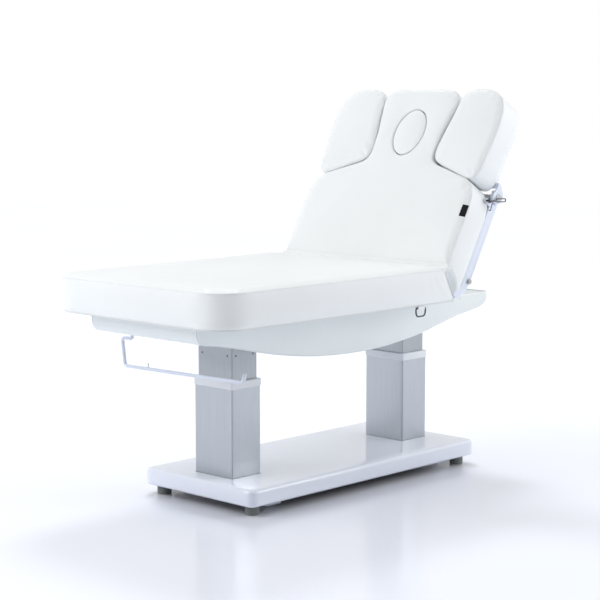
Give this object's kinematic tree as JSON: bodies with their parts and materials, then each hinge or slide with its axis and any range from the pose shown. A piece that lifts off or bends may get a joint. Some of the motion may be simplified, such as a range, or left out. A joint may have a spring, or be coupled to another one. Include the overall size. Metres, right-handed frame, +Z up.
{
  "type": "facial treatment bed",
  "caption": "Height-adjustable facial treatment bed on two telescopic columns, with a tilting back section, face opening with plug, swing-down side pads, and paper-roll holder.",
  "frame": {"origin": "centre of the bounding box in plan, at floor level under the four levelling feet", "axes": "+X towards the head end, +Y towards the right hand of a person lying on their back, +Z up"},
  "size_m": [1.4868, 0.8, 1.3217],
  "materials": {
    "leather_white": "soft white leatherette",
    "lacquer_white": "high-gloss lacquer",
    "shell_white": "satin-gloss moulded shell",
    "plastic_white": "satin",
    "powder_white": "white powder coat",
    "aluminium": "satin anodised",
    "steel": "bright drawn",
    "frame_grey": "grey paint",
    "dark_metal": "dark chrome",
    "plastic_dark": "satin",
    "plastic_grey": "satin",
    "board": "white-primed plywood",
    "label": "woven"
  },
  "bodies": {
    "base": {"base_slab": "lacquer_white", "crossbar_foot": "powder_white", "crossbar_head": "powder_white", "glide_foot_end_left": "plastic_grey", "glide_foot_end_right": "plastic_grey", "glide_head_end_left": "plastic_grey", "glide_head_end_right": "plastic_grey", "cable_gland": "plastic_dark", "column_outer_foot": "aluminium", "column_outer_head": "aluminium", "column_collar_foot": "plastic_white", "column_collar_head": "plastic_white", "lift_motor_foot": "plastic_dark", "lift_motor_head": "plastic_dark"},
    "lift": {"column_inner_foot": "aluminium", "column_inner_head": "aluminium", "lift_nut_tube_foot": "steel", "lift_nut_tube_head": "steel", "chassis": "frame_grey", "hull_fairing": "shell_white", "nose_cover": "shell_white", "control_box": "plastic_dark", "holder_socket": "plastic_white", "hinge_bracket_left": "frame_grey", "hinge_bracket_right": "frame_grey", "pivot_shaft": "steel", "back_actuator": "plastic_dark", "leg_cushion": "leather_white", "leg_board": "board", "ring_staple": "plastic_white"},
    "back": {"back_cushion": "leather_white", "back_board": "board", "back_frame": "powder_white", "pad_shaft": "steel", "back_lever": "frame_grey", "lever_spring_left": "dark_metal", "lever_spring_right": "dark_metal", "bar_plug_left": "plastic_grey", "bar_plug_right": "plastic_grey", "blank_label": "label"},
    "drive_rod": {"actuator_rod": "steel"},
    "face_plug": {"face_plug": "leather_white"},
    "pad_left": {"pad_cushion_left": "leather_white", "pad_board_left": "board", "pad_arm_left": "powder_white"},
    "pad_right": {"pad_cushion_right": "leather_white", "pad_board_right": "board", "pad_arm_right": "powder_white"},
    "lever_left": {"lock_lever_left": "dark_metal"},
    "lever_right": {"lock_lever_right": "dark_metal"},
    "roll_holder": {"roll_holder": "powder_white"},
    "strap_ring": {"strap_ring": "dark_metal"}
  },
  "joints": [
    {"name": "height", "type": "slide", "parent": "base", "child": "lift", "axis": [0, 0, 1], "range_m": [-0.145, 0.115]},
    {"name": "back_tilt", "type": "hinge", "parent": "lift", "child": "back", "pos_m": [0.36465, 0, 0.64074], "axis": [0, -1, 0], "range_deg": [-60, 10]},
    {"name": "drive_rod_slide", "type": "slide", "parent": "lift", "child": "drive_rod", "axis": [1, 0, 0], "range_m": [-0.0905, 0.0155]},
    {"name": "face_plug_lift", "type": "slide", "parent": "back", "child": "face_plug", "axis": [-0.866, 0, 0.5], "range_m": [0, 0.13]},
    {"name": "pad_left_drop", "type": "hinge", "parent": "back", "child": "pad_left", "pos_m": [0.58733, 0, 0.95096], "axis": [0, 1, 0], "range_deg": [0, 80]},
    {"name": "pad_right_drop", "type": "hinge", "parent": "back", "child": "pad_right", "pos_m": [0.58733, 0, 0.95096], "axis": [0, 1, 0], "range_deg": [0, 80]},
    {"name": "lock_lever_left_pull", "type": "hinge", "parent": "back", "child": "lever_left", "pos_m": [0.53186, -0.385, 0.94488], "axis": [0, -1, 0], "range_deg": [0, 25]},
    {"name": "lock_lever_right_pull", "type": "hinge", "parent": "back", "child": "lever_right", "pos_m": [0.53186, 0.385, 0.94488], "axis": [0, -1, 0], "range_deg": [0, 25]},
    {"name": "roll_holder_swing", "type": "hinge", "parent": "lift", "child": "roll_holder", "pos_m": [-0.53935, 0.229, 0.55], "axis": [0, 0, 1], "range_deg": [-90, 0]},
    {"name": "strap_ring_swing", "type": "hinge", "parent": "lift", "child": "strap_ring", "pos_m": [0.15965, -0.393, 0.6126], "axis": [1, 0, 0], "range_deg": [-70, 70]}
  ],
  "couplings": [
    {"joint": "drive_rod_slide", "follows": "back_tilt", "m_per_rad": 0.08594}
  ]
}
